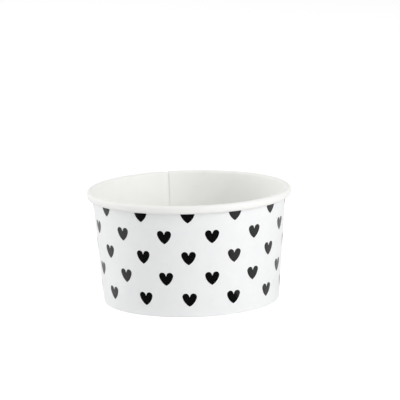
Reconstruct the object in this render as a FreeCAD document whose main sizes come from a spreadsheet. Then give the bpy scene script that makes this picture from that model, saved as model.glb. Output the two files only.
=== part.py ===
import FreeCAD, Part
import Sketcher
import math
import os

# Paper dessert cup: one lapped and rolled side wall, a floor disc and a printed pattern.
# Millimetres. Origin at the middle of the foot on the table, +Z up, front towards -Y.

SIZES = [
    ("cup_height", "48", "table to the top of the rolled rim"),
    ("rim_diameter", "87", "over the rolled rim"),
    ("rim_width", "2.62", "across the roll, wall face included"),
    ("rim_height", "3.5", "roll, top to underside"),
    ("curl_end_gap", "0.15", "between the roll's hidden end and the wall"),
    ("foot_diameter", "74.7", "where the wall meets the table"),
    ("board", "0.33", "thickness of the wall's board"),
    ("base_board", "0.3", "thickness of the floor's board"),
    ("seal_gap", "0.03", "sealing film between two layers of board"),
    ("floor_height", "6.4", "table to the top of the floor"),
    ("floor_bend", "0.5", "inner radius where the floor turns down"),
    ("skirt_gap", "0.2", "below the floor's skirt, inside the hem's fold"),
    ("hem_gap", "0.4", "from the hem's end up to the floor's bend"),
    ("lap_width", "8", "overlap of the side seam at the foot"),
    ("lap_ramp", "3", "run over which the top layer steps down"),
    ("column_pitch", "28.59", "degrees from one column of hearts to the next"),
    ("row_pitch", "8.95", "from one row of hearts to the next"),
    ("first_row", "7.41", "table to the middle of the lowest row"),
    ("hearts_in_row", "12", "hearts round the cup in one row"),
    ("straight_rows", "3", "rows with a heart at the front"),
    ("staggered_rows", "2", "rows that stand half a column aside"),
    ("heart_width", "6.05", "across the lobes"),
    ("heart_height", "5.67", "lobes to point"),
    ("heart_notch", "1.7", "depth of the notch between the lobes"),
    ("heart_lobe", "1.42", "radius of the heart's lobes"),
    ("heart_side", "6.1", "radius of the heart's long sides"),
    ("ink", "0.04", "thickness of the print"),
]


doc = FreeCAD.newDocument("dessert_cup")

sheet = doc.addObject("Spreadsheet::Sheet", "Sizes")
for row, (alias, value, note) in enumerate(SIZES, start=1):
    sheet.set(f"A{row}", alias)
    sheet.set(f"B{row}", value)
    sheet.setAlias(f"B{row}", alias)
    sheet.set(f"C{row}", note)
doc.recompute()

# Angles and places that several pieces share, each worked out from the sheet.
# Angles are in degrees, counter-clockwise seen from above, with the back of the cup at 90.
SHARED = [
    ("foot_radius", "Sizes.foot_diameter / 2"),
    ("roll_radius", "Sizes.rim_width / 2"),
    ("roll_centre", "Sizes.rim_diameter / 2 - shared.roll_radius"),
    ("roll_top", "Sizes.cup_height - shared.roll_radius"),
    ("roll_low", "Sizes.cup_height - Sizes.rim_height + shared.roll_radius"),
    ("run_out", "shared.roll_centre - shared.foot_radius"),
    ("run", "sqrt(shared.run_out ^ 2 + shared.roll_top ^ 2)"),
    ("lean", "(acos((shared.roll_radius - Sizes.board) / shared.run)"
             " - acos(shared.run_out / shared.run)) / 1 deg"),
    ("channel", "Sizes.base_board + 2 * Sizes.seal_gap"),
    ("hem_top", "Sizes.floor_height - Sizes.base_board - Sizes.floor_bend - Sizes.hem_gap"),
    ("lap_turn", "Sizes.lap_width / shared.foot_radius * 180 / pi"),
    ("ramp_turn", "Sizes.lap_ramp / shared.foot_radius * 180 / pi"),
    ("seam_middle", "90 + Sizes.column_pitch / 4"),
    ("seam_start", "shared.seam_middle - shared.lap_turn / 2"),
    ("seam_step", "shared.seam_middle + shared.lap_turn / 2"),
    ("seam_end", "shared.seam_step + shared.ramp_turn"),
    ("wall_low", "Sizes.board * (1 - sin(shared.lean)) + Sizes.seal_gap"),
    ("layer", "Sizes.board / cos(shared.lean)"),
    ("film", "Sizes.ink / cos(shared.lean)"),
    ("staggered_start", "-Sizes.column_pitch * (Sizes.hearts_in_row - 1) / 2"),
    ("straight_start", "shared.staggered_start + Sizes.column_pitch / 2"),
    ("stamp_back", "shared.foot_radius / 2"),
]

shared = doc.addObject("App::VarSet", "shared")
for name, expression in SHARED:
    shared.addProperty("App::PropertyFloat", name, "Shared")
    shared.setExpression(name, expression)
    doc.recompute()


def size(expression):
    """Return the present value of an expression on the sheet."""
    value = sheet.evalExpression(expression)
    return float(getattr(value, "Value", value))


def plane(body, role):
    """Return one of a body's own origin planes or axes."""
    return next(item for item in body.Origin.OriginFeatures if item.Role == role)


def new_body(name):
    """Start a sub-part."""
    body = doc.addObject("PartDesign::Body", name)
    body.Label = name
    return body


def new_sketch(body, name, role):
    """Start a sketch on one of a body's origin planes."""
    sketch = body.newObject("Sketcher::SketchObject", name)
    sketch.AttachmentSupport = [(plane(body, role), "")]
    sketch.MapMode = "FlatFace"
    return sketch


def rule(sketch, kind, *where):
    """Add one geometric constraint."""
    sketch.addConstraint(Sketcher.Constraint(kind, *where))


def measure(sketch, name, kind, where, expression):
    """Add one dimension, bound to the sheet."""
    value = math.radians(size(expression)) if kind == "Angle" else size(expression)
    index = sketch.addConstraint(Sketcher.Constraint(kind, *where, value))
    sketch.renameConstraint(index, name)
    sketch.setExpression(f"Constraints.{name}", expression)


def line(start, end):
    """Return a sketch line between two (x, y) points."""
    return Part.LineSegment(FreeCAD.Vector(*start, 0), FreeCAD.Vector(*end, 0))


def arc(centre, radius, start, end):
    """Return a sketch arc, counter-clockwise from start to end in degrees."""
    circle = Part.Circle(FreeCAD.Vector(*centre, 0), FreeCAD.Vector(0, 0, 1), radius)
    return Part.ArcOfCircle(circle, math.radians(start), math.radians(end))


def ahead(point, distance, angle):
    """Return the point at a distance from another, at an angle in degrees."""
    turn = math.radians(angle)
    return (point[0] + distance * math.cos(turn), point[1] + distance * math.sin(turn))


def revolve(body, sketch, name, turn):
    """Turn a section round the cup's axis."""
    feature = body.newObject("PartDesign::Revolution", name)
    feature.Profile = sketch
    feature.ReferenceAxis = (plane(body, "Z_Axis"), [""])
    feature.setExpression("Angle", turn)
    body.Tip = feature
    return feature


# The points of a sketch line or arc, and a sketch's own axes, as a constraint names them.
START, END, CENTRE = range(1, 4)
X_AXIS, Y_AXIS = -1, -2
ORIGIN = (X_AXIS, START)

# How far out from the wall's outside a strip's side lies.
THROUGH_WALL = "-2 * shared.layer"
WALL_INSIDE = "-shared.layer"
INTO_WALL = "-shared.layer / 2"
ON_WALL = "0"
PRINT = "shared.film"
TOP_LAYER = "shared.layer"


# Side wall: the rolled rim, the leaning wall and the folded hem are one board,
# drawn as its section and turned round the axis.
def wall_section(body):
    """Draw the board's section from the roll's hidden end to the hem's end."""
    board = size("Sizes.board")
    roll = size("shared.roll_radius")
    lean = size("shared.lean")
    outwards = -lean
    upwards = 90 - lean
    top = (size("shared.roll_centre"), size("shared.roll_top"))
    low = (top[0], size("shared.roll_low"))
    slant = math.cos(math.radians(lean))
    fold = (size("shared.foot_radius") + board * (math.tan(math.radians(lean)) - 1 / slant), board)
    inner_fold = (fold[0] - size("shared.channel") / slant, board)
    hem_end = ahead(inner_fold, (size("shared.hem_top") - board) / slant, upwards)
    wall_outside = ahead(fold, board, outwards)
    wall_top = ahead(top, roll - board, 180 - lean)
    tail = 270 - math.degrees(math.asin(1 - (board + size("Sizes.curl_end_gap")) / roll))

    sketch = new_sketch(body, "WallSection", "XZ_Plane")
    geometry = [
        line(wall_outside, wall_top),
        arc(top, roll - board, 0, 180 - lean),
        line((top[0] + roll - board, top[1]), (top[0] + roll - board, low[1])),
        arc(low, roll - board, tail - 360, 0),
        line(ahead(low, roll - board, tail), ahead(low, roll, tail)),
        arc(low, roll, tail - 360, 0),
        line((top[0] + roll, low[1]), (top[0] + roll, top[1])),
        arc(top, roll, 0, 180 - lean),
        line(ahead(top, roll, 180 - lean), fold),
        line(fold, inner_fold),
        line(inner_fold, hem_end),
        line(hem_end, ahead(hem_end, board, 180 - lean)),
        line(ahead(hem_end, board, 180 - lean), ahead(inner_fold, board, 180 - lean)),
        arc(inner_fold, board, 180 - lean, 270),
        line((inner_fold[0], 0), (fold[0], 0)),
        arc(fold, board, -90, -lean),
    ]
    (wall, top_inside, side_inside, low_inside, tail_end, low_outside, side, top_outside,
     liner, channel, hem, hem_tip, hem_inside, fold_inside, foot, fold_outside) = range(16)
    sketch.addGeometry(geometry, False)
    for first, end, second, start in (
        (wall, END, top_inside, END),
        (top_inside, START, side_inside, START),
        (side_inside, END, low_inside, END),
        (low_outside, END, side, START),
        (side, END, top_outside, START),
        (top_outside, END, liner, START),
        (hem_inside, END, fold_inside, START),
        (fold_inside, END, foot, START),
        (foot, END, fold_outside, START),
        (fold_outside, END, wall, START),
    ):
        rule(sketch, "Tangent", first, end, second, start)
    for first, end, second, start in (
        (tail_end, START, low_inside, START),
        (tail_end, END, low_outside, START),
        (liner, END, channel, START),
        (channel, END, hem, START),
        (hem, END, hem_tip, START),
        (hem_tip, END, hem_inside, START),
        (top_inside, CENTRE, top_outside, CENTRE),
        (low_inside, CENTRE, low_outside, CENTRE),
        (fold_outside, CENTRE, liner, END),
        (fold_inside, CENTRE, channel, END),
    ):
        rule(sketch, "Coincident", first, end, second, start)
    rule(sketch, "Vertical", side)
    rule(sketch, "Vertical", side_inside)
    rule(sketch, "Parallel", liner, wall)
    rule(sketch, "Parallel", hem, wall)
    rule(sketch, "Parallel", hem_inside, wall)
    rule(sketch, "Perpendicular", hem_tip, hem)
    rule(sketch, "Equal", low_outside, top_outside)
    rule(sketch, "PointOnObject", low_inside, CENTRE, tail_end)
    rule(sketch, "PointOnObject", foot, START, X_AXIS)
    rule(sketch, "Horizontal", foot)
    corner = sketch.addGeometry(Part.Point(FreeCAD.Vector(size("shared.foot_radius"), 0, 0)), True)
    rule(sketch, "PointOnObject", corner, START, X_AXIS)
    rule(sketch, "PointOnObject", corner, START, wall)
    measure(sketch, "foot_radius", "DistanceX", (*ORIGIN, corner, START), "shared.foot_radius")
    measure(sketch, "board", "Radius", (fold_outside,), "Sizes.board")
    measure(sketch, "hem_board", "Radius", (fold_inside,), "Sizes.board")
    measure(sketch, "roll", "Radius", (low_outside,), "shared.roll_radius")
    measure(sketch, "roll_centre", "DistanceX", (*ORIGIN, top_outside, CENTRE), "shared.roll_centre")
    measure(sketch, "roll_top", "DistanceY", (*ORIGIN, top_outside, CENTRE), "shared.roll_top")
    measure(sketch, "roll_low", "DistanceY", (*ORIGIN, low_outside, CENTRE), "shared.roll_low")
    measure(sketch, "channel", "Distance", (channel, END, liner), "shared.channel")
    measure(sketch, "hem_top", "DistanceY", (*ORIGIN, hem, END), "shared.hem_top")
    measure(sketch, "curl_end_gap", "Distance", (low_outside, START, wall), "Sizes.curl_end_gap")
    return sketch


def turned(sketch, axis, angle):
    """Turn a sketch about an axis of its own, by an angle bound to the sheet."""
    sketch.AttachmentOffset = FreeCAD.Placement(FreeCAD.Vector(), FreeCAD.Rotation(axis, size(angle)))
    sketch.setExpression(".AttachmentOffset.Rotation.Angle", angle)


def wall_radius(height, out):
    """Return the wall's outside radius at a height, and so far out from there."""
    return f"shared.foot_radius + ({height}) * tan(shared.lean) + {out}"


def strip_section(body, name, low, high, turn, inside, outside):
    """Draw the section of a strip that lies on the wall, on a plane at an angle."""
    corners = [(inside, low), (outside, low), (outside, high), (inside, high)]
    radii = [wall_radius(height, out) for out, height in corners]
    points = [(size(radius), size(height)) for radius, (_, height) in zip(radii, corners)]
    sketch = new_sketch(body, name, "XZ_Plane")
    turned(sketch, FreeCAD.Vector(0, 1, 0), turn)
    for index, point in enumerate(points):
        sketch.addGeometry(line(point, points[(index + 1) % 4]), False)
    for index in range(4):
        rule(sketch, "Coincident", index, END, (index + 1) % 4, START)
    rule(sketch, "Horizontal", 0)
    rule(sketch, "Horizontal", 2)
    measure(sketch, "low", "DistanceY", (*ORIGIN, 0, START), low)
    measure(sketch, "high", "DistanceY", (*ORIGIN, 2, START), high)
    for index, radius in enumerate(radii):
        measure(sketch, f"radius{index}", "DistanceX", (*ORIGIN, index, START), radius)
    return sketch


def ramp_level(body, name, height, inside, crest, foot):
    """Draw one level of a ramp beside the seam's step, from its crest to its foot."""
    turn = "shared.ramp_turn"
    reach = [wall_radius(height, out) for out in (inside, crest, foot, inside)]
    angles = [0, 0, size(turn), size(turn)]
    points = [ahead((0, 0), size(radius), angle) for radius, angle in zip(reach, angles)]
    sketch = new_sketch(body, name, "XY_Plane")
    turned(sketch, FreeCAD.Vector(0, 0, 1), "shared.seam_step")
    sketch.setExpression(".AttachmentOffset.Base.z", height)
    for index, point in enumerate(points):
        sketch.addGeometry(line(point, points[(index + 1) % 4]), False)
    for index in range(4):
        rule(sketch, "Coincident", index, END, (index + 1) % 4, START)
    for index in (0, 1):
        rule(sketch, "PointOnObject", index, START, X_AXIS)
        measure(sketch, f"reach{index}", "DistanceX", (*ORIGIN, index, START), reach[index])
    for index in (2, 3):
        across = f"({reach[index]}) * cos({turn})"
        along = f"({reach[index]}) * sin({turn})"
        measure(sketch, f"across{index}", "DistanceX", (*ORIGIN, index, START), across)
        measure(sketch, f"along{index}", "DistanceY", (*ORIGIN, index, START), along)
    return sketch


def ramp(body, name, kind, levels, outline):
    """Join two levels of a ramp into a wedge that leans with the wall."""
    sketches = [ramp_level(body, f"{name}Level{number}", height, *outline)
                for number, height in enumerate(levels, start=1)]
    doc.recompute()
    feature = body.newObject(kind, name)
    feature.Profile = sketches[0]
    feature.Sections = sketches[1:]
    feature.Ruled = True
    body.Tip = feature
    return feature


side_wall = new_body("side_wall")
revolve(side_wall, wall_section(side_wall), "Wall", "360")

# The blank's top layer laps over its other end, just above the foot's fold, and comes
# down again past it.
LAP_LEVELS = ["shared.wall_low", "Sizes.cup_height - Sizes.rim_height"]
lap_section = strip_section(side_wall, "LapSection", *LAP_LEVELS, "shared.seam_start", INTO_WALL, TOP_LAYER)
revolve(side_wall, lap_section, "Lap", "shared.lap_turn")
ramp(side_wall, "Ramp", "PartDesign::AdditiveLoft", LAP_LEVELS, (INTO_WALL, TOP_LAYER, ON_WALL))

# Inside, the covered end is a square step, and the top layer comes in beside it.
ramp(side_wall, "Step", "PartDesign::SubtractiveLoft",
     ["Sizes.floor_height", "shared.roll_top"], (THROUGH_WALL, ON_WALL, WALL_INSIDE))


# Floor: a round blank with its edge turned down between the wall and the hem.
def base_section(body):
    """Draw the floor's section from the axis to the end of its skirt."""
    board = size("Sizes.base_board")
    bend = size("Sizes.floor_bend")
    lean = size("shared.lean")
    slope = math.tan(math.radians(lean))
    slant = math.cos(math.radians(lean))
    top = size("Sizes.floor_height")
    seat = size("shared.foot_radius") - size("Sizes.board + Sizes.seal_gap") / slant
    skirt_low = size("Sizes.board + Sizes.skirt_gap")
    centre_height = top - board - bend
    centre = (seat + centre_height * slope - (board + bend) / slant, centre_height)
    skirt_top = ahead(centre, board + bend, -lean)
    skirt_end = (seat + skirt_low * slope, skirt_low)
    inner_end = ahead(skirt_end, board, 180 - lean)

    sketch = new_sketch(body, "BaseSection", "XZ_Plane")
    sketch.addGeometry([
        line((0, top), (centre[0], top)),
        arc(centre, board + bend, -lean, 90),
        line(skirt_top, skirt_end),
        line(skirt_end, inner_end),
        line(inner_end, ahead(centre, bend, -lean)),
        arc(centre, bend, -lean, 90),
        line((centre[0], top - board), (0, top - board)),
        line((0, top - board), (0, top)),
    ], False)
    face, bend_outside, skirt, skirt_tip, skirt_inside, bend_inside, under, middle = range(8)
    for first, end, second, start in (
        (face, END, bend_outside, END),
        (bend_outside, START, skirt, START),
        (skirt_inside, END, bend_inside, START),
        (bend_inside, END, under, START),
    ):
        rule(sketch, "Tangent", first, end, second, start)
    for first, end, second, start in (
        (skirt, END, skirt_tip, START),
        (skirt_tip, END, skirt_inside, START),
        (under, END, middle, START),
        (middle, END, face, START),
        (bend_inside, CENTRE, bend_outside, CENTRE),
    ):
        rule(sketch, "Coincident", first, end, second, start)
    rule(sketch, "Horizontal", face)
    rule(sketch, "Horizontal", under)
    rule(sketch, "Vertical", middle)
    rule(sketch, "PointOnObject", face, START, Y_AXIS)
    rule(sketch, "Perpendicular", skirt_tip, skirt)
    rule(sketch, "Parallel", skirt_inside, skirt)
    corner = sketch.addGeometry(Part.Point(FreeCAD.Vector(seat, 0, 0)), True)
    rule(sketch, "PointOnObject", corner, START, X_AXIS)
    rule(sketch, "PointOnObject", corner, START, skirt)
    measure(sketch, "seat", "DistanceX", (*ORIGIN, corner, START),
            "shared.foot_radius - (Sizes.board + Sizes.seal_gap) / cos(shared.lean)")
    measure(sketch, "lean", "Angle", (X_AXIS, START, skirt, END), "90 - shared.lean")
    measure(sketch, "floor_height", "DistanceY", (*ORIGIN, face, START), "Sizes.floor_height")
    measure(sketch, "base_board", "DistanceY", (*ORIGIN, under, END),
            "Sizes.floor_height - Sizes.base_board")
    measure(sketch, "floor_bend", "Radius", (bend_inside,), "Sizes.floor_bend")
    measure(sketch, "skirt_low", "DistanceY", (*ORIGIN, skirt, END), "Sizes.board + Sizes.skirt_gap")
    return sketch


base_disc = new_body("base_disc")
revolve(base_disc, base_section(base_disc), "Floor", "360")


# Print: hearts cut out of a thin band on the wall, clear of the side seam.
def heart_sketch(body, name, turn, height):
    """Draw one heart on an upright plane that faces out of the cup at an angle."""
    lobe = size("Sizes.heart_lobe")
    side = size("Sizes.heart_side")
    right = (size("Sizes.heart_width") / 2 - lobe, size("Sizes.heart_height") / 2 - lobe)
    tip = (0, -size("Sizes.heart_height") / 2)
    span = math.dist(tip, right)
    slope = math.degrees(math.atan2(right[1] - tip[1], right[0] - tip[0]))
    opening = math.degrees(math.acos((span ** 2 + side ** 2 - (side - lobe) ** 2) / (2 * span * side)))
    middle = ahead(tip, side, slope + opening)
    join = math.degrees(math.atan2(right[1] - middle[1], right[0] - middle[0]))
    point = slope + opening - 180
    notch = (0, size("Sizes.heart_height / 2 - Sizes.heart_notch"))
    towards = math.degrees(math.atan2(notch[1] - right[1], notch[0] - right[0])) % 360
    touch = towards - math.degrees(math.acos(lobe / math.dist(notch, right)))
    left = (-right[0], right[1])
    mirrored = (-middle[0], middle[1])

    sketch = new_sketch(body, name, "XZ_Plane")
    turned(sketch, FreeCAD.Vector(0, 1, 0), turn)
    sketch.setExpression(".AttachmentOffset.Base.x", f"shared.stamp_back * sin({turn})")
    sketch.setExpression(".AttachmentOffset.Base.y", height)
    sketch.setExpression(".AttachmentOffset.Base.z", f"shared.stamp_back * cos({turn})")
    sketch.addGeometry([
        arc(right, lobe, join, touch),
        line(ahead(right, lobe, touch), notch),
        line(notch, ahead(left, lobe, 180 - touch)),
        arc(left, lobe, 180 - touch, 180 - join),
        arc(mirrored, side, 180 - join, 180 - point),
        arc(middle, side, point, join),
    ], False)
    right_lobe, right_notch, left_notch, left_lobe, left_side, right_side = range(6)
    rule(sketch, "Tangent", right_lobe, END, right_notch, START)
    rule(sketch, "Tangent", left_notch, END, left_lobe, START)
    rule(sketch, "Tangent", left_lobe, END, left_side, START)
    rule(sketch, "Tangent", right_side, END, right_lobe, START)
    rule(sketch, "Coincident", right_notch, END, left_notch, START)
    rule(sketch, "Coincident", left_side, END, right_side, START)
    rule(sketch, "PointOnObject", right_notch, END, Y_AXIS)
    rule(sketch, "PointOnObject", right_side, START, Y_AXIS)
    rule(sketch, "Symmetric", left_lobe, CENTRE, right_lobe, CENTRE, Y_AXIS)
    rule(sketch, "Equal", left_lobe, right_lobe)
    rule(sketch, "Equal", left_side, right_side)
    measure(sketch, "heart_lobe", "Radius", (right_lobe,), "Sizes.heart_lobe")
    measure(sketch, "heart_side", "Radius", (right_side,), "Sizes.heart_side")
    measure(sketch, "lobe_out", "DistanceX", (*ORIGIN, right_lobe, CENTRE),
            "Sizes.heart_width / 2 - Sizes.heart_lobe")
    measure(sketch, "lobe_up", "DistanceY", (*ORIGIN, right_lobe, CENTRE),
            "Sizes.heart_height / 2 - Sizes.heart_lobe")
    measure(sketch, "notch_up", "DistanceY", (*ORIGIN, right_notch, END),
            "Sizes.heart_height / 2 - Sizes.heart_notch")
    measure(sketch, "tip_down", "DistanceY", (right_side, START, *ORIGIN), "Sizes.heart_height / 2")
    return sketch


def heart_rows(body, name, turn, height, rows):
    """Push one heart out through the wall, and repeat it up the cup and round it."""
    stamp = body.newObject("PartDesign::Pad", name)
    stamp.Profile = heart_sketch(body, f"{name}Outline", turn, height)
    stamp.setExpression("Length", "Sizes.rim_diameter / 2")
    doc.recompute()
    up = body.newObject("PartDesign::LinearPattern", f"{name}Up")
    up.Direction = (plane(body, "Z_Axis"), [""])
    up.Mode = "Spacing"
    up.setExpression("Offset", "2 * Sizes.row_pitch")
    up.setExpression("Occurrences", rows)
    around = body.newObject("PartDesign::PolarPattern", f"{name}Round")
    around.Axis = (plane(body, "Z_Axis"), [""])
    around.Mode = "Spacing"
    around.setExpression("Offset", "Sizes.column_pitch")
    around.setExpression("Occurrences", "Sizes.hearts_in_row")
    grid = body.newObject("PartDesign::MultiTransform", f"{name}Grid")
    grid.Originals = [stamp]
    grid.Transformations = [up, around]
    body.Tip = grid
    return grid


heart_stamps = new_body("heart_stamps")
heart_stamps.AllowCompound = True
heart_rows(heart_stamps, "Straight", "shared.straight_start", "Sizes.first_row", "Sizes.straight_rows")
heart_rows(heart_stamps, "Staggered", "shared.staggered_start",
           "Sizes.first_row + Sizes.row_pitch", "Sizes.staggered_rows")

# The band stands on the wall between the two sides of the seam.
print_band = new_body("print_band")
band_section = strip_section(
    print_band, "BandSection", "shared.wall_low", "shared.roll_top", "shared.seam_end", ON_WALL, PRINT
)
revolve(print_band, band_section, "Band", "360 - shared.lap_turn - shared.ramp_turn")

printed_hearts = doc.addObject("Part::Common", "printed_hearts")
printed_hearts.Label = "printed_hearts"
printed_hearts.Base = print_band
printed_hearts.Tool = heart_stamps


# Check and write.
def checked(item):
    """Stop if a sub-part has no sound shape."""
    if item.Shape.isNull() or not item.Shape.isValid() or not item.Shape.Solids:
        raise RuntimeError(f"{item.Label} has no valid shape")
    return item.Shape


doc.recompute()
for item in doc.Objects:
    if "Invalid" in item.State or "Error" in item.State:
        raise RuntimeError(f"{item.Label} failed: {item.State}")

os.makedirs("parts", exist_ok=True)
for item in (side_wall, base_disc, printed_hearts):
    shape = checked(item)
    shape.exportStep(os.path.join("parts", f"{item.Label}.step"))
    print(f"{item.Label}: {len(shape.Solids)} solids, {shape.Volume:.1f} cubic mm")
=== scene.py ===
import enum
import logging
import math
from dataclasses import dataclass
from typing import Any

import bmesh
import bpy
from mathutils import Matrix, Vector


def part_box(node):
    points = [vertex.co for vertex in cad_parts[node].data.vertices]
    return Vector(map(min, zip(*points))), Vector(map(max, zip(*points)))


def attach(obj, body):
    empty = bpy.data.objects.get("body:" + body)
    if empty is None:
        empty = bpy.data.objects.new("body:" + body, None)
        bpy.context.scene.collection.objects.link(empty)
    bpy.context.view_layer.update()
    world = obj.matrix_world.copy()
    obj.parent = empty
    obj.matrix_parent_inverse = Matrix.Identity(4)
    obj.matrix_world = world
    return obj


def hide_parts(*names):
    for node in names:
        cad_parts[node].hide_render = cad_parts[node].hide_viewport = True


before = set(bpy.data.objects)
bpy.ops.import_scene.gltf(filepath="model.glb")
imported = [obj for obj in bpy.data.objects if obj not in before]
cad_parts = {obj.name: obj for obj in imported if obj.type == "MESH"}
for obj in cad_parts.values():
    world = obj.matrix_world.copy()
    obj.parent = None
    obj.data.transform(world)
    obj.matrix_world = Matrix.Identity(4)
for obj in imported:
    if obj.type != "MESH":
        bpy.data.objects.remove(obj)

# Paper dessert cup: one lapped sheet of board with a rolled rim and a folded foot,
# a floor disc, and a printed pattern of hearts. Lengths are in millimetres until
# a piece is finished, and then in metres.

log = logging.getLogger("dessert_cup")
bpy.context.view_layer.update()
METRES = 0.001
UP = Vector((0.0, 0.0, 1.0))
TOWARDS_VIEWER = Vector((0.0, -1.0, 0.0))
SMOOTH_BELOW = math.radians(35)
# Closer than this, in millimetres, two vertices of a drawing are one.
WELD = 1e-4

Point = tuple[float, float]


def linear(code: str) -> tuple[float, float, float, float]:
    """Turn an sRGB hex code into a linear colour.

    Args:
        code: Six hex digits after a hash.

    Returns:
        Red, green, blue and an alpha of 1.
    """
    channels = [int(code[place:place + 2], 16) / 255 for place in (1, 3, 5)]
    red, green, blue = [
        value / 12.92 if value <= 0.04045 else ((value + 0.055) / 1.055) ** 2.4 for value in channels
    ]
    return (red, green, blue, 1.0)


def per_metre(millimetres: float) -> float:
    """Return the texture scale that gives a pattern this many millimetres across."""
    return 1.0 / (millimetres * METRES)


def ease(value: float) -> float:
    """Return a smooth step from 0 to 1, held at its ends."""
    held = min(max(value, 0.0), 1.0)
    return held * held * (3 - 2 * held)


def add_node(
    tree: bpy.types.NodeTree, kind: str, inputs: dict[str | int, Any] | None = None, **settings: Any
) -> bpy.types.Node:
    """Add one node with its settings, values and links.

    Args:
        tree: The node tree that the node goes into.
        kind: The node's type name.
        inputs: Socket name or number to a value, or to another node's output, which is linked.
        settings: Properties of the node itself.

    Returns:
        The new node.
    """
    node = tree.nodes.new(kind)
    for name, value in settings.items():
        setattr(node, name, value)
    for socket, value in (inputs or {}).items():
        if isinstance(value, bpy.types.NodeSocket):
            tree.links.new(value, node.inputs[socket])
        else:
            node.inputs[socket].default_value = value
    return node


def new_material(name: str) -> bpy.types.Material:
    """Start a material with an empty node tree."""
    material = bpy.data.materials.new(name)
    material.use_nodes = True
    material.node_tree.nodes.clear()
    return material


class Face(enum.IntEnum):
    """Which face of the wall's board a polygon belongs to, as its material number."""

    PRINTED = 0
    FOOD = 1
    EDGE = 2


@dataclass(frozen=True)
class BoardFinish:
    """Bleached paperboard, pressed and cut.

    The pulp lies in faint clouds, and its fibres leave a fine tooth. Real fibres are
    0.03 mm across, too fine to show, so the tooth is drawn about ten times as coarse.
    """

    name: str
    light: str
    dark: str
    roughness: float
    roughness_spread: float
    cloud_mm: float = 5.0
    tooth_mm: float = 0.35
    tooth_depth_mm: float = 0.01
    tooth_strength: float = 0.25
    ripple_mm: float = 9.0
    ripple_depth_mm: float = 0.06
    ripple_strength: float = 0.12
    coat: float = 0.0
    coat_roughness: float = 0.2
    ior: float = 1.5

    def material(self) -> bpy.types.Material:
        """Build the board's material.

        Returns:
            A material that reads object coordinates.
        """
        material = new_material(self.name)
        tree = material.node_tree
        place = add_node(tree, "ShaderNodeTexCoord").outputs["Object"]
        clouds = add_node(tree, "ShaderNodeTexNoise", {
            "Vector": place, "Scale": per_metre(self.cloud_mm), "Detail": 3.0, "Roughness": 0.55,
        })
        tooth = add_node(tree, "ShaderNodeTexNoise", {
            "Vector": place, "Scale": per_metre(self.tooth_mm), "Detail": 2.0, "Roughness": 0.6,
        })
        ripple = add_node(tree, "ShaderNodeTexNoise", {
            "Vector": place, "Scale": per_metre(self.ripple_mm), "Detail": 1.0,
        })
        colour = add_node(tree, "ShaderNodeMix", {
            "Factor": clouds.outputs["Fac"], "A": linear(self.dark), "B": linear(self.light),
        }, data_type="RGBA")
        rough = add_node(tree, "ShaderNodeMapRange", {
            "Value": tooth.outputs["Fac"],
            "To Min": self.roughness - self.roughness_spread,
            "To Max": self.roughness + self.roughness_spread,
        })
        waves = add_node(tree, "ShaderNodeBump", {
            "Height": ripple.outputs["Fac"], "Strength": self.ripple_strength,
            "Distance": self.ripple_depth_mm * METRES,
        })
        grain = add_node(tree, "ShaderNodeBump", {
            "Height": tooth.outputs["Fac"], "Strength": self.tooth_strength,
            "Distance": self.tooth_depth_mm * METRES, "Normal": waves.outputs["Normal"],
        })
        board = add_node(tree, "ShaderNodeBsdfPrincipled", {
            "Base Color": colour.outputs["Result"], "Roughness": rough.outputs["Result"],
            "Normal": grain.outputs["Normal"], "IOR": self.ior,
            "Coat Weight": self.coat, "Coat Roughness": self.coat_roughness,
        })
        add_node(tree, "ShaderNodeOutputMaterial", {"Surface": board.outputs["BSDF"]})
        return material


@dataclass(frozen=True)
class InkFinish:
    """Black offset ink under a clear press varnish.

    The ink lies a little unevenly, and the varnish mirrors bright things near the
    cup's sides, so hearts that turn away from the viewer look grey.
    """

    name: str = "varnished_black_ink"
    full: str = "#040405"
    thin: str = "#0A0A0B"
    mottle_mm: float = 0.9
    roughness: float = 0.18
    roughness_spread: float = 0.04
    ior: float = 1.55
    tooth_mm: float = 0.35
    tooth_depth_mm: float = 0.006
    tooth_strength: float = 0.2

    def material(self) -> bpy.types.Material:
        """Build the ink's material.

        Returns:
            A material that reads object coordinates.
        """
        material = new_material(self.name)
        tree = material.node_tree
        place = add_node(tree, "ShaderNodeTexCoord").outputs["Object"]
        mottle = add_node(tree, "ShaderNodeTexNoise", {
            "Vector": place, "Scale": per_metre(self.mottle_mm), "Detail": 3.0,
        })
        tooth = add_node(tree, "ShaderNodeTexNoise", {
            "Vector": place, "Scale": per_metre(self.tooth_mm), "Detail": 2.0,
        })
        colour = add_node(tree, "ShaderNodeMix", {
            "Factor": mottle.outputs["Fac"], "A": linear(self.full), "B": linear(self.thin),
        }, data_type="RGBA")
        rough = add_node(tree, "ShaderNodeMapRange", {
            "Value": mottle.outputs["Fac"],
            "To Min": self.roughness - self.roughness_spread,
            "To Max": self.roughness + self.roughness_spread,
        })
        grain = add_node(tree, "ShaderNodeBump", {
            "Height": tooth.outputs["Fac"], "Strength": self.tooth_strength,
            "Distance": self.tooth_depth_mm * METRES,
        })
        ink = add_node(tree, "ShaderNodeBsdfPrincipled", {
            "Base Color": colour.outputs["Result"], "Roughness": rough.outputs["Result"],
            "Normal": grain.outputs["Normal"], "IOR": self.ior,
        })
        add_node(tree, "ShaderNodeOutputMaterial", {"Surface": ink.outputs["BSDF"]})
        return material


# Smooth, faintly cool white under a thin clear coating: a soft satin shine.
PRINTED_FACE = BoardFinish(
    "coated_bleached_board", light="#F7F8F8", dark="#F1F2F3",
    roughness=0.42, roughness_spread=0.05, coat=0.15, coat_roughness=0.3,
)
# The side that holds the food and shows on the rolled rim: a shade warmer and flatter.
FOOD_FACE = BoardFinish(
    "sealed_bleached_board", light="#F8F8F6", dark="#F4F4F1", roughness=0.5, roughness_spread=0.06,
)
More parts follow.
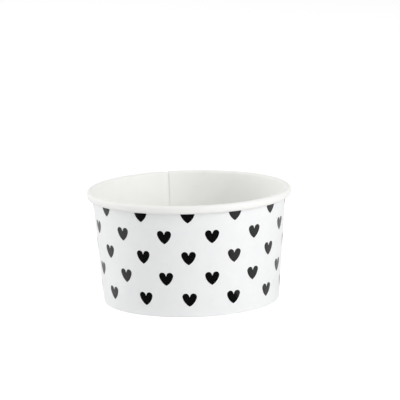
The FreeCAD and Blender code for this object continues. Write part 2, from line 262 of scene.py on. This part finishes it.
# Bare pulp where the board is cut: matt, rough and warmer still.
CUT_EDGE = BoardFinish(
    "cut_pulp_edge", light="#F5F2EA", dark="#EBE7DC", roughness=0.9, roughness_spread=0.05,
    cloud_mm=0.8, tooth_mm=0.12, tooth_depth_mm=0.04, tooth_strength=0.5,
)
# Uncoated base stock: soft, matt and slightly cream.
BASE_STOCK = BoardFinish(
    "uncoated_base_board", light="#F6F5F1", dark="#F1F0EB", roughness=0.62, roughness_spread=0.07,
    tooth_strength=0.35,
)


@dataclass(frozen=True)
class CupForm:
    """The sizes that the cup's pieces share, in millimetres and degrees."""

    cup_height: float
    rim_diameter: float
    floor_height: float
    foot_diameter: float = 74.7
    rim_width: float = 2.62
    rim_height: float = 3.5
    board: float = 0.33
    base_board: float = 0.3
    seal_gap: float = 0.03
    floor_bend: float = 0.5
    skirt_low: float = 0.53
    hem_top: float = 5.2
    column_pitch: float = 28.59

    @classmethod
    def from_frame(cls) -> "CupForm":
        """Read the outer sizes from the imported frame."""
        low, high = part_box("side_wall")
        return cls(
            cup_height=high.z / METRES,
            rim_diameter=(high.x - low.x) / METRES,
            floor_height=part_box("base_disc")[1].z / METRES,
        )

    @property
    def foot_radius(self) -> float:
        """Radius where the wall's outside meets the table."""
        return self.foot_diameter / 2

    @property
    def roll_radius(self) -> float:
        """Outer radius of the rolled rim's bends."""
        return self.rim_width / 2

    @property
    def roll_centre(self) -> float:
        """Distance of the roll's bends from the axis."""
        return self.rim_diameter / 2 - self.roll_radius

    @property
    def roll_top(self) -> float:
        """Height of the middle of the roll's upper bend."""
        return self.cup_height - self.roll_radius

    @property
    def roll_low(self) -> float:
        """Height of the middle of the roll's lower bend."""
        return self.cup_height - self.rim_height + self.roll_radius

    @property
    def lean(self) -> float:
        """How far the wall leans out from upright, in radians."""
        run_out = self.roll_centre - self.foot_radius
        run = math.hypot(run_out, self.roll_top)
        return math.acos((self.roll_radius - self.board) / run) - math.acos(run_out / run)

    def wall_radius(self, height: float, inwards: float = 0.0) -> float:
        """Return the wall's outside radius at a height.

        Args:
            height: Height above the table.
            inwards: How far inside the wall's face, measured square to it.

        Returns:
            The distance from the cup's axis.
        """
        return self.foot_radius + height * math.tan(self.lean) - inwards / math.cos(self.lean)


class Section:
    """The middle line of a board, drawn from one vertex with straight runs and bends.

    The line lies in the XZ plane, with X the distance from the cup's axis. Its vertices
    carry marks: how much the seam, the crowded curl and the hem's ribs move them, which
    way the printed side faces, and which column of the swept sheet they belong to.
    """

    MARKS = ("lap", "curl", "rib", "out", "column")

    def __init__(self, start: Point) -> None:
        """Start the line at a point."""
        self.mesh = bmesh.new()
        layers = self.mesh.verts.layers
        self.lap, self.curl, self.rib = (layers.float.new(name) for name in self.MARKS[:3])
        self.out = layers.float_vector.new(self.MARKS[3])
        self.column = layers.int.new(self.MARKS[4])
        self.last = self.mesh.verts.new((start[0], 0.0, start[1]))

    def run(self, end: Point, steps: int = 1) -> list[bmesh.types.BMVert]:
        """Go straight on to a point.

        Args:
            end: Where the run ends.
            steps: How many equal edges it has.

        Returns:
            The run's new vertices, in order.
        """
        step = (Vector((end[0], 0.0, end[1])) - self.last.co) / steps
        made = []
        for _ in range(steps):
            grown = bmesh.ops.extrude_vert_indiv(self.mesh, verts=[self.last])["verts"]
            bmesh.ops.translate(self.mesh, verts=grown, vec=step)
            self.last = grown[0]
            made.append(self.last)
        return made

    def bend(self, centre: Point, angle: float, steps: int) -> list[bmesh.types.BMVert]:
        """Go on round a centre.

        Args:
            centre: The middle of the bend.
            angle: Degrees to turn, positive when counter-clockwise seen from the front.
            steps: How many edges the bend has.

        Returns:
            The bend's new vertices, in order.
        """
        known = len(self.mesh.verts)
        made = bmesh.ops.spin(
            self.mesh, geom=[self.last], cent=(centre[0], 0.0, centre[1]), axis=TOWARDS_VIEWER,
            angle=math.radians(angle), steps=steps, use_duplicate=False, use_merge=False,
        )
        self.last = made["geom_last"][0]
        return list(self.mesh.verts)[known:]


def turned_outwards(mesh: bmesh.types.BMesh, guide: bmesh.types.BMFace, wanted: Vector) -> None:
    """Make an open sheet's faces agree, with one of them facing a wanted way.

    Args:
        mesh: The sheet.
        guide: The face to go by.
        wanted: The direction that it should face.
    """
    bmesh.ops.recalc_face_normals(mesh, faces=mesh.faces)
    if guide.normal.dot(wanted) < 0:
        bmesh.ops.reverse_faces(mesh, faces=mesh.faces)


def finished(
    name: str, mesh: bmesh.types.BMesh, thickness: float, materials: list[bpy.types.Material]
) -> bpy.types.Object:
    """Give a sheet its thickness and make it an object, in metres and at the origin.

    Args:
        name: The piece's name.
        mesh: The sheet's middle surface, in millimetres.
        thickness: The board's thickness, in millimetres.
        materials: One material, or those of the front, the back and the cut edges.

    Returns:
        The finished piece, with its modifier applied.
    """
    bmesh.ops.scale(mesh, vec=(METRES,) * 3, verts=mesh.verts)
    data = bpy.data.meshes.new(name)
    mesh.to_mesh(data)
    mesh.free()
    for material in materials:
        data.materials.append(material)
    piece = bpy.data.objects.new(name, data)
    bpy.context.scene.collection.objects.link(piece)
    last = len(materials) - 1
    solid = piece.modifiers.new("thickness", "SOLIDIFY")
    solid.thickness = thickness * METRES
    solid.offset = 0.0
    solid.use_even_offset = True
    solid.use_quality_normals = True
    solid.material_offset = min(Face.FOOD, last)
    solid.material_offset_rim = min(Face.EDGE, last)
    settled = bpy.data.meshes.new_from_object(
        piece.evaluated_get(bpy.context.evaluated_depsgraph_get())
    )
    piece.modifiers.clear()
    piece.data = settled
    bpy.data.meshes.remove(data)
    settled.name = name
    for mark in Section.MARKS:
        if mark in settled.attributes:
            settled.attributes.remove(settled.attributes[mark])
    settled.shade_smooth()
    settled.set_sharp_from_angle(angle=SMOOTH_BELOW)
    return piece


def placed(piece: bpy.types.Object, node: str) -> bpy.types.Object:
    """Tie a piece to the frame's root body, and hide the plain node that it takes the place of."""
    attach(piece, "root")
    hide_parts(node)
    return piece


@dataclass
class SideWall:
    """One sheet of board: lapped at the back, rolled out at the top, folded in at the foot."""

    form: CupForm
    lap_width: float = 8.0
    lap_ramp: float = 3.0
    lap_lift: float = 0.34
    channel: float = 0.36
    fold_radius: float = 0.45
    lap_from: float = 0.6
    lap_full: float = 1.6
    curl_sweep: float = 138.3
    curl_crowded: float = 30.0
    crowd_run: float = 4.0
    butt_gap: float = 0.12
    rib_depth: float = 0.11
    rib_fade: float = 0.5
    rib_columns: int = 4
    lap_columns: int = 16
    ramp_columns: int = 6
    round_columns: int = 456
    hem_rows: int = 10
    fold_rows: int = 5
    lap_rows: int = 4
    wall_rows: int = 12
    roll_rows: int = 16
    curl_rows: int = 13

    @property
    def lap_turn(self) -> float:
        """Degrees over which the blank's two ends lie on each other."""
        return math.degrees(self.lap_width / self.form.foot_radius)

    @property
    def ramp_turn(self) -> float:
        """Degrees over which the top layer comes down past the covered end."""
        return math.degrees(self.lap_ramp / self.form.foot_radius)

    @property
    def seam_start(self) -> float:
        """Angle of the top layer's end, with the back of the cup at 90 degrees."""
        return 90 + self.form.column_pitch / 4 - self.lap_turn / 2

    def section(self) -> Section:
        """Draw the board's middle line, from the hem's end to the roll's hidden end.

        Returns:
            The line, whose vertices carry how the seam, the curl and the ribs move them.
        """
        form = self.form
        lean = math.degrees(form.lean)
        slope, slant = math.sin(form.lean), math.cos(form.lean)
        middle = form.board / 2
        bend = self.fold_radius - middle
        hem = middle + form.board + self.channel
        hem_end = form.hem_top + middle * slope
        inner = (form.wall_radius(self.fold_radius + bend * slope, hem) + bend * slant, self.fold_radius)
        outer = (
            form.wall_radius(self.fold_radius - bend * slope, middle) - bend * slant, self.fold_radius
        )
        top = (form.roll_centre, form.roll_top)
        low = (form.roll_centre, form.roll_low)
        roll = form.roll_radius - middle

        section = Section((form.wall_radius(hem_end, hem), hem_end))
        hem_foot = (inner[0] - bend * slant, inner[1] + bend * slope)
        ribbed = section.run(hem_foot, self.hem_rows)[1:-2]
        for vert in ribbed:
            vert[section.rib] = self.rib_fade if vert in (ribbed[0], ribbed[-1]) else 1.0
        section.bend(inner, 90 + lean, self.fold_rows)
        section.run((outer[0], middle))
        section.bend(outer, 90 - lean, self.fold_rows)
        section.run((form.wall_radius(self.lap_from, middle), self.lap_from))
        lap_end = (form.wall_radius(self.lap_full, middle), self.lap_full)
        for vert in section.run(lap_end, self.lap_rows):
            vert[section.lap] = ease((vert.co.z - self.lap_from) / (self.lap_full - self.lap_from))
        wall_top = (top[0] - roll * slant, top[1] + roll * slope)
        full = section.run(wall_top, self.wall_rows)
        full += section.bend(top, lean - 180, self.roll_rows)
        full += section.run((low[0] + roll, low[1]))
        curled = section.bend(low, -self.curl_sweep, self.curl_rows)
        for vert in full + curled:
            vert[section.lap] = 1.0
        for number, vert in enumerate(curled, start=1):
            vert[section.curl] = number / len(curled)
        return section

    def mark_sides(self, section: Section) -> None:
        """Write on each vertex of the line which way the printed side faces."""
        chain = list(section.mesh.verts)
        for number, vert in enumerate(chain):
            before = chain[max(number - 1, 0)].co
            after = chain[min(number + 1, len(chain) - 1)].co
            along = (after - before).normalized()
            vert[section.out] = Vector((along.z, 0.0, -along.x))

    def swept(self, section: Section) -> list[float]:
        """Turn the line round the axis, past a full turn, so that the ends lap.

        Args:
            section: The board's middle line.

        Returns:
            Each column's turn from the top layer's end, in degrees.
        """
        mesh = section.mesh
        bmesh.ops.rotate(
            mesh, verts=mesh.verts, cent=(0, 0, 0),
            matrix=Matrix.Rotation(math.radians(self.seam_start), 3, "Z"),
        )
        rows = len(mesh.verts)
        turns = [0.0]
        edge = mesh.verts[:] + mesh.edges[:]
        spans = (
            (self.lap_turn, self.lap_columns),
            (self.ramp_turn, self.ramp_columns),
            (360 - self.lap_turn - self.ramp_turn, self.round_columns),
            (self.lap_turn, self.lap_columns),
        )
        for turn, steps in spans:
            made = bmesh.ops.spin(
                mesh, geom=edge, cent=(0, 0, 0), axis=UP, angle=math.radians(turn), steps=steps,
                use_duplicate=False, use_merge=False,
            )
            edge = made["geom_last"]
            begun = turns[-1]
            turns += [begun + turn * (step + 1) / steps for step in range(steps)]
        for number, vert in enumerate(mesh.verts):
            vert[section.column] = number // rows
        return turns

    def lift(self, turn: float) -> float:
        """Return how far the top layer stands off at a turn from its end, from 1 to 0."""
        return 1.0 - ease((turn - self.lap_turn) / self.ramp_turn)

    def crowding(self, turn: float) -> float:
        """Return how far the seam's extra layer shortens the curl at a turn, from 0 to 1."""
        past_ramp = turn - self.lap_turn - self.ramp_turn
        before_lap = 360 - turn
        return 1.0 - ease(min(past_ramp, before_lap) / self.crowd_run)

    def shape_sheet(self, section: Section, turns: list[float]) -> None:
        """Move the swept sheet's vertices for the seam, the curl's end and the hem's ribs.

        Args:
            section: The swept sheet.
            turns: Each column's turn from the top layer's end.
        """
        mesh = section.mesh
        lap, curl, rib, column = section.lap, section.curl, section.rib, section.column
        curl_middle = Vector((self.form.roll_centre, 0.0, self.form.roll_low))
        for vert in mesh.verts:
            turn = turns[vert[column]]
            around = Matrix.Rotation(math.radians(self.seam_start + turn), 3, "Z")
            flat = around.inverted() @ vert.co
            side = vert[section.out].copy()
            if vert[curl]:
                back = self.crowding(turn) * self.curl_crowded * vert[curl]
                unroll = Matrix.Rotation(math.radians(back), 3, TOWARDS_VIEWER)
                flat = curl_middle + unroll @ (flat - curl_middle)
                side = unroll @ side
            flat += side * self.lap_lift * self.lift(turn) * vert[lap]
            if vert[rib]:
                wave = (1 - math.cos(2 * math.pi * vert[column] / self.rib_columns)) / 2
                flat += side * self.rib_depth * wave * vert[rib]
            vert.co = around @ flat
            if vert[column] == 0 and vert[lap] < 1:
                vert.co.rotate(Matrix.Rotation(math.radians(self.butt_gap), 3, "Z"))

    def notch(self, section: Section) -> None:
        """Cut the covered end away at the foot, where only one layer is folded in."""
        mesh = section.mesh
        lap, column = section.lap, section.column
        first = self.lap_columns + self.ramp_columns + self.round_columns
        gone = [
            face for face in mesh.faces
            if min(vert[column] for vert in face.verts) >= first
            and min(vert[lap] for vert in face.verts) < 1
        ]
        bmesh.ops.delete(mesh, geom=gone, context="FACES")

    def build(self) -> bpy.types.Object:
        """Build the wall and dress its two faces and its cut edges.

        Returns:
            The wall, in place of the plain one.
        """
        section = self.section()
        self.mark_sides(section)
        turns = self.swept(section)
        self.shape_sheet(section, turns)
        self.notch(section)
        mesh = section.mesh
        mesh.faces.ensure_lookup_table()
        guide = max(mesh.faces, key=lambda face: face.calc_area())
        middle = guide.calc_center_median()
        turned_outwards(mesh, guide, Vector((middle.x, middle.y, 0.0)))
        finishes = [face.material() for face in (PRINTED_FACE, FOOD_FACE, CUT_EDGE)]
        piece = finished("lapped_side_wall", mesh, self.form.board, finishes)
        return placed(piece, "side_wall")


@dataclass
class BaseDisc:
    """The raised floor: a round blank with its edge turned down into a skirt."""

    form: CupForm
    columns: int = 240
    press_radius: float = 33.4
    press_depth: float = 0.1
    press_width: float = 1.2
    floor_rows: int = 8
    press_rows: int = 6
    border_rows: int = 2
    bend_rows: int = 10
    skirt_rows: int = 4

    def section(self) -> Section:
        """Draw the blank's middle line, from the axis to the skirt's end.

        Returns:
            The line, with a shallow step where the forming punch pressed the floor.
        """
        form = self.form
        lean = math.degrees(form.lean)
        middle = form.base_board / 2
        under = form.floor_height - form.base_board
        bend = form.floor_bend + middle
        seat = form.board + form.seal_gap
        centre_height = under - form.floor_bend
        centre = (
            form.wall_radius(centre_height, seat + form.base_board + form.floor_bend), centre_height
        )
        level = form.floor_height - middle
        skirt_end = form.skirt_low + middle * math.sin(form.lean)

        section = Section((0.0, level - self.press_depth))
        section.run((self.press_radius - self.press_width, level - self.press_depth), self.floor_rows)
        for vert in section.run((self.press_radius, level - self.press_depth), self.press_rows):
            way = (vert.co.x - self.press_radius + self.press_width) / self.press_width
            vert.co.z += self.press_depth * ease(way)
        section.run((centre[0], level), self.border_rows)
        section.bend(centre, -(90 + lean), self.bend_rows)
        section.run((form.wall_radius(skirt_end, seat + middle), skirt_end), self.skirt_rows)
        return section

    def build(self) -> bpy.types.Object:
        """Build the floor and dress it.

        Returns:
            The floor, in place of the plain one.
        """
        mesh = self.section().mesh
        bmesh.ops.spin(
            mesh, geom=mesh.verts[:] + mesh.edges[:], cent=(0, 0, 0), axis=UP, angle=math.tau,
            steps=self.columns, use_duplicate=False, use_merge=True,
        )
        bmesh.ops.remove_doubles(mesh, verts=mesh.verts, dist=WELD)
        guide = min(mesh.faces, key=lambda face: face.calc_center_median().xy.length)
        turned_outwards(mesh, guide, UP)
        piece = finished("floor_disc", mesh, self.form.base_board, [BASE_STOCK.material()])
        return placed(piece, "base_disc")


@dataclass
class HeartPrint:
    """Rows of small hearts printed round the wall, each row half a column aside."""

    form: CupForm
    width: float = 6.05
    height: float = 5.67
    notch: float = 1.7
    lobe: float = 1.42
    side: float = 6.1
    ink: float = 0.03
    off_board: float = 0.002
    first_row: float = 7.41
    row_pitch: float = 8.95
    rows: int = 5
    hearts_in_row: int = 12
    cut_pitch: float = 0.5
    side_steps: int = 10
    lobe_steps: int = 16

    def outline(self) -> bmesh.types.BMesh:
        """Draw one flat heart in the XZ plane, facing the viewer.

        Returns:
            A mesh with one face, point down and centred on the origin.
        """
        lobe, side = self.lobe, self.side
        right = (self.width / 2 - lobe, self.height / 2 - lobe)
        tip = (0.0, -self.height / 2)
        notch = (0.0, self.height / 2 - self.notch)
        span = math.dist(tip, right)
        slope = math.atan2(right[1] - tip[1], right[0] - tip[0])
        opening = math.acos((span ** 2 + side ** 2 - (side - lobe) ** 2) / (2 * span * side))
        middle = (side * math.cos(slope + opening), tip[1] + side * math.sin(slope + opening))
        join = math.degrees(math.atan2(right[1] - middle[1], right[0] - middle[0]))
        point = math.degrees(slope + opening) - 180
        towards = math.degrees(math.atan2(notch[1] - right[1], notch[0] - right[0])) % 360
        touch = towards - math.degrees(math.acos(lobe / math.dist(notch, right)))

        half = Section(tip)
        half.bend(middle, join - point, self.side_steps)
        half.bend(right, touch - join, self.lobe_steps)
        half.run(notch)
        mesh = half.mesh
        bmesh.ops.mirror(
            mesh, geom=mesh.verts[:] + mesh.edges[:], axis="X", merge_dist=WELD, matrix=Matrix(),
        )
        bmesh.ops.remove_doubles(mesh, verts=mesh.verts, dist=WELD)
        bmesh.ops.contextual_create(mesh, geom=mesh.edges[:])
        return mesh

    def wrapped(self, height: float) -> bmesh.types.BMesh:
        """Lay one heart on the wall at the front.

        Args:
            height: Height of the heart's middle above the table.

        Returns:
            A mesh of narrow strips that follow the wall's round.
        """
        mesh = self.outline()
        cuts = int(self.width / 2 / self.cut_pitch)
        for number in range(-cuts, cuts + 1):
            bmesh.ops.bisect_plane(
                mesh, geom=mesh.verts[:] + mesh.edges[:] + mesh.faces[:], dist=WELD / 10,
                plane_co=(number * self.cut_pitch, 0, 0), plane_no=(1, 0, 0),
            )
        mesh.faces.ensure_lookup_table()
        turned_outwards(mesh, mesh.faces[0], TOWARDS_VIEWER)
        for vert in mesh.verts:
            vert.co.z += height
            radius = self.form.wall_radius(vert.co.z, -self.off_board - self.ink / 2)
            vert.co.y = -math.sqrt(radius ** 2 - vert.co.x ** 2)
        return mesh

    def build(self) -> bpy.types.Object:
        """Build the print and dress it.

        Returns:
            All the hearts as one piece, in place of the plain ones.
        """
        whole = bmesh.new()
        row_data = bpy.data.meshes.new("row")
        for row in range(self.rows):
            mesh = self.wrapped(self.first_row + row * self.row_pitch)
            first = (1 - self.hearts_in_row) / 2 + (0.5 if row % 2 == 0 else 0.0)
            bmesh.ops.rotate(
                mesh, verts=mesh.verts, cent=(0, 0, 0),
                matrix=Matrix.Rotation(math.radians(first * self.form.column_pitch), 3, "Z"),
            )
            steps = self.hearts_in_row - 1
            bmesh.ops.spin(
                mesh, geom=mesh.verts[:] + mesh.edges[:] + mesh.faces[:], cent=(0, 0, 0), axis=UP,
                angle=math.radians(steps * self.form.column_pitch), steps=steps,
                use_duplicate=True, use_merge=False,
            )
            mesh.to_mesh(row_data)
            mesh.free()
            whole.from_mesh(row_data)
        bpy.data.meshes.remove(row_data)
        piece = finished("heart_print", whole, self.ink, [InkFinish().material()])
        return placed(piece, "printed_hearts")


@dataclass(frozen=True)
class Softbox:
    """One soft lamp, aimed at the cup. Angles are seen from the camera's side."""

    name: str
    azimuth: float
    elevation: float
    watts: float
    width: float
    height: float
    distance: float = 1.5
    aim_height: float = 0.025

    def build(self) -> bpy.types.Object:
        """Make the lamp.

        Returns:
            The lamp's object.
        """
        data = bpy.data.lights.new(self.name, "AREA")
        data.shape = "RECTANGLE"
        data.size, data.size_y = self.width, self.height
        data.energy = self.watts
        lamp = bpy.data.objects.new(self.name, data)
        lamp.matrix_world = (
            Matrix.Rotation(math.radians(self.azimuth), 4, "Z")
            @ Matrix.Translation((0, 0, self.aim_height))
            @ Matrix.Rotation(math.radians(90 - self.elevation), 4, "X")
            @ Matrix.Translation((0, 0, self.distance))
        )
        bpy.context.scene.collection.objects.link(lamp)
        return lamp


@dataclass
class Studio:
    """The plain white studio: floor, surroundings, lamps and camera."""

    floor_radius: float = 6.0
    floor_hole: float = 0.0368
    floor_sides: int = 96
    floor_white: str = "#F6F6F6"
    floor_glow: float = 0.35
    ambient: float = 0.56
    flag_near: float = 0.04
    flag_lift: float = 0.0005
    flag_radius: float = 2.2
    flag_height: float = 1.5
    flag_left: float = 60.0
    flag_right: float = 42.0
    flag_steps: int = 32
    flag_grey: float = 0.05
    camera_azimuth: float = 0.94
    camera_elevation: float = 10.65
    camera_distance: float = 1.1386
    camera_roll: float = 1.41
    camera_lens: float = 240.5
    camera_aim: tuple[float, float, float] = (0.00464, 0.0, 0.0424)
    softboxes: tuple[Softbox, ...] = (
        Softbox("key_softbox", azimuth=50, elevation=22, watts=10.0, width=1.0, height=1.0),
        Softbox("left_softbox", azimuth=-105, elevation=20, watts=8.0, width=0.9, height=0.9),
        Softbox("high_softbox", azimuth=-65, elevation=60, watts=1.5, width=0.9, height=0.9),
    )

    def floor(self) -> bpy.types.Object:
        """Make the floor: white where nothing shades it, and clear when seen from below.

        A hole under the cup, hidden from above, lets light reach its underside.

        Returns:
            The floor.
        """
        mesh = bmesh.new()
        bmesh.ops.create_circle(mesh, segments=self.floor_sides, radius=self.floor_radius)
        ring = bmesh.ops.extrude_edge_only(mesh, edges=mesh.edges[:])["geom"]
        inner = [item for item in ring if isinstance(item, bmesh.types.BMVert)]
        bmesh.ops.scale(mesh, verts=inner, vec=(self.floor_hole / self.floor_radius,) * 3)
        turned_outwards(mesh, next(iter(mesh.faces)), UP)
        data = bpy.data.meshes.new("studio_floor")
        mesh.to_mesh(data)
        mesh.free()
        material = new_material("white_studio_floor")
        tree = material.node_tree
        rays = add_node(tree, "ShaderNodeLightPath").outputs
        behind = add_node(tree, "ShaderNodeNewGeometry").outputs["Backfacing"]
        glow = add_node(tree, "ShaderNodeMath", {
            0: rays["Is Camera Ray"], 1: self.floor_glow,
        }, operation="MULTIPLY")
        light = add_node(tree, "ShaderNodeEmission", {"Strength": glow.outputs[0]})
        paint = add_node(tree, "ShaderNodeBsdfDiffuse", {"Color": linear(self.floor_white)})
        lit = add_node(tree, "ShaderNodeAddShader", {0: paint.outputs[0], 1: light.outputs[0]})
        clear = add_node(tree, "ShaderNodeBsdfTransparent")
        sided = add_node(tree, "ShaderNodeMixShader", {
            0: behind, 1: lit.outputs[0], 2: clear.outputs[0],
        })
        add_node(tree, "ShaderNodeOutputMaterial", {"Surface": sided.outputs[0]})
        data.materials.append(material)
        floor = bpy.data.objects.new("studio_floor", data)
        bpy.context.scene.collection.objects.link(floor)
        return floor

    def flag(self) -> bpy.types.Object:
        """Make the dark card in front of the cup, which only shiny surfaces see.

        It lies on the floor and stands up behind the camera, and keeps the ink black.

        Returns:
            The card.
        """
        mesh = bmesh.new()
        near = mesh.verts.new((0, -self.flag_near, self.flag_lift))
        far = bmesh.ops.extrude_vert_indiv(mesh, verts=[near])["verts"]
        bmesh.ops.translate(mesh, verts=far, vec=(0, self.flag_near - self.flag_radius, 0))
        high = bmesh.ops.extrude_vert_indiv(mesh, verts=far)["verts"]
        bmesh.ops.translate(mesh, verts=high, vec=(0, 0, self.flag_height))
        bmesh.ops.rotate(
            mesh, verts=mesh.verts, cent=(0, 0, 0),
            matrix=Matrix.Rotation(math.radians(-self.flag_left), 3, "Z"),
        )
        bmesh.ops.spin(
            mesh, geom=mesh.verts[:] + mesh.edges[:], cent=(0, 0, 0), axis=UP,
            angle=math.radians(self.flag_left + self.flag_right), steps=self.flag_steps,
            use_duplicate=False, use_merge=False,
        )
        data = bpy.data.meshes.new("studio_flag")
        mesh.to_mesh(data)
        mesh.free()
        material = new_material("dark_studio_card")
        tree = material.node_tree
        dark = add_node(tree, "ShaderNodeEmission", {"Strength": self.flag_grey})
        add_node(tree, "ShaderNodeOutputMaterial", {"Surface": dark.outputs[0]})
        data.materials.append(material)
        card = bpy.data.objects.new("studio_flag", data)
        bpy.context.scene.collection.objects.link(card)
        card.visible_camera = card.visible_diffuse = card.visible_transmission = False
        card.visible_shadow = card.visible_volume_scatter = False
        return card

    def surroundings(self) -> None:
        """Make the world: soft light all round, and plain white where it is seen or mirrored."""
        world = bpy.data.worlds.new("studio")
        world.use_nodes = True
        tree = world.node_tree
        tree.nodes.clear()
        rays = add_node(tree, "ShaderNodeLightPath").outputs
        seen = add_node(tree, "ShaderNodeMath", {
            0: rays["Is Camera Ray"], 1: rays["Is Glossy Ray"],
        }, operation="MAXIMUM")
        either = add_node(tree, "ShaderNodeMath", {
            0: seen.outputs[0], 1: rays["Is Transmission Ray"],
        }, operation="MAXIMUM")
        soft = add_node(tree, "ShaderNodeBackground", {"Strength": self.ambient})
        white = add_node(tree, "ShaderNodeBackground", {"Strength": 1.0})
        for background in (soft, white):
            background.inputs["Color"].default_value = (1.0, 1.0, 1.0, 1.0)
        mixed = add_node(tree, "ShaderNodeMixShader", {
            0: either.outputs[0], 1: soft.outputs[0], 2: white.outputs[0],
        })
        add_node(tree, "ShaderNodeOutputWorld", {"Surface": mixed.outputs[0]})
        bpy.context.scene.world = world

    def camera(self) -> bpy.types.Object:
        """Make the camera at the photograph's viewing angle.

        Returns:
            The camera's object.
        """
        data = bpy.data.cameras.new("camera")
        data.sensor_fit = "HORIZONTAL"
        data.lens = self.camera_lens
        data.clip_start, data.clip_end = 0.05, 50.0
        camera = bpy.data.objects.new("camera", data)
        camera.matrix_world = (
            Matrix.Rotation(math.radians(self.camera_azimuth), 4, "Z")
            @ Matrix.Translation(self.camera_aim)
            @ Matrix.Rotation(math.radians(90 - self.camera_elevation), 4, "X")
            @ Matrix.Translation((0, 0, self.camera_distance))
            @ Matrix.Rotation(math.radians(-self.camera_roll), 4, "Z")
        )
        bpy.context.scene.collection.objects.link(camera)
        bpy.context.scene.camera = camera
        return camera

    def build(self) -> None:
        """Build the whole studio."""
        bpy.context.scene.view_settings.view_transform = "Standard"
        self.surroundings()
        self.floor()
        self.flag()
        for softbox in self.softboxes:
            softbox.build()
        self.camera()


def report(piece: bpy.types.Object) -> None:
    """Log a piece's name, faces and extent."""
    size = piece.dimensions / METRES
    log.info("%s: %d faces, %.2f x %.2f x %.2f mm", piece.name, len(piece.data.polygons), *size)


def main() -> None:
    """Build the cup and its studio."""
    logging.basicConfig(level=logging.INFO, format="%(name)s: %(message)s")
    form = CupForm.from_frame()
    Studio().build()
    for part in (SideWall(form), BaseDisc(form), HeartPrint(form)):
        report(part.build())
    bpy.context.view_layer.update()


if __name__ == "__main__":
    main()
